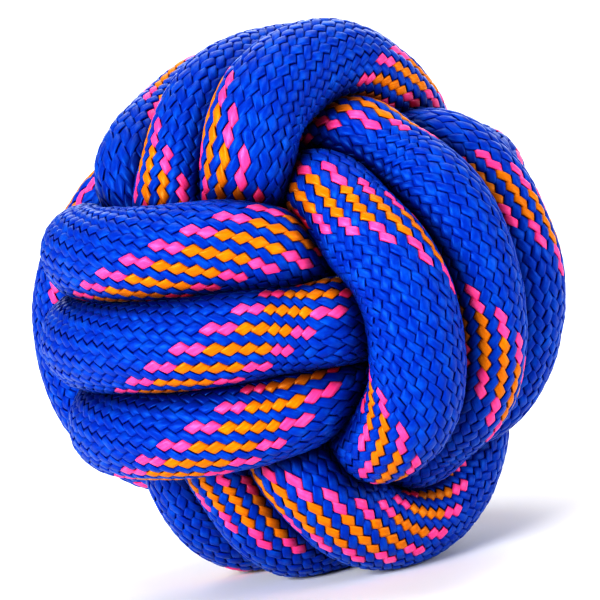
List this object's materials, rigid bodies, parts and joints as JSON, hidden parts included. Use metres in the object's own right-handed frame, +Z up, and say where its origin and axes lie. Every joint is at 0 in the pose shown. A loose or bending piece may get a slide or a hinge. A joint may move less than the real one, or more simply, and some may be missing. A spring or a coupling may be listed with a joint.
{
  "type": "rope ball dog toy",
  "caption": "Dog toy ball tied from one length of braided rope in a round woven knot over a small filler ball, with a flattened underside to rest on.",
  "frame": {"origin": "under the middle of the ball, on the surface it rests on", "axes": "+Z up; -Y towards the front, where the belt turns of the knot run across; +X to the right, where the wheel turns run up and down; the hoop turns run front to back over the top and underside"},
  "size_m": [0.0714, 0.0714, 0.0705],
  "materials": {
    "cover_yarn": "tightly braided multifilament yarn, royal blue with pink and orange flecks, soft sheen",
    "core_yarn": "loose undyed parallel yarn",
    "melted_yarn": "heat-sealed yarn, smooth and dark",
    "filler": "plain sanded wood"
  },
  "bodies": {
    "root": {"rope_cover": "cover_yarn", "rope_core": "core_yarn", "start_end_seal": "melted_yarn", "finish_end_seal": "melted_yarn", "filler_ball": "filler"}
  },
  "joints": []
}
